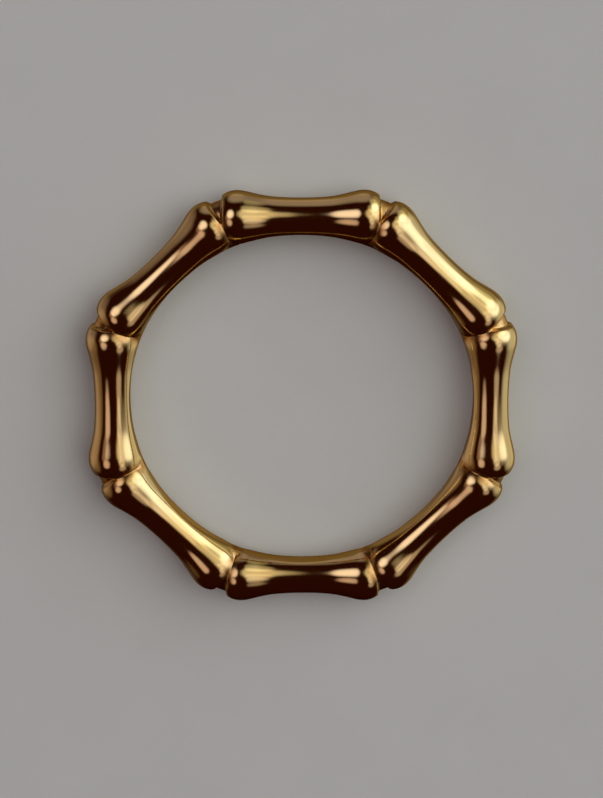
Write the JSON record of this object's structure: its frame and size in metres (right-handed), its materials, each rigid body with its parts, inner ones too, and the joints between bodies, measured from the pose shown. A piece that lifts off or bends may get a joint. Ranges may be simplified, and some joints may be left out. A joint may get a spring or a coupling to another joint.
{
  "type": "stackable finger ring",
  "caption": "Slim gold finger ring cast as a circle of eight bamboo canes with beaded ends and a smooth round bore, to wear alone or stacked.",
  "frame": {"origin": "middle of the ring, on the finger bore's axis and half way up it", "axes": "+Z along the finger bore's axis, with the ring lying on its side; +Y through the middle of one cane"},
  "size_m": [0.0216, 0.0216, 0.0026],
  "materials": {
    "gold": "mirror-polished yellow gold plating over solid cast brass"
  },
  "bodies": {
    "root": {"bamboo_band": "gold"}
  },
  "joints": []
}
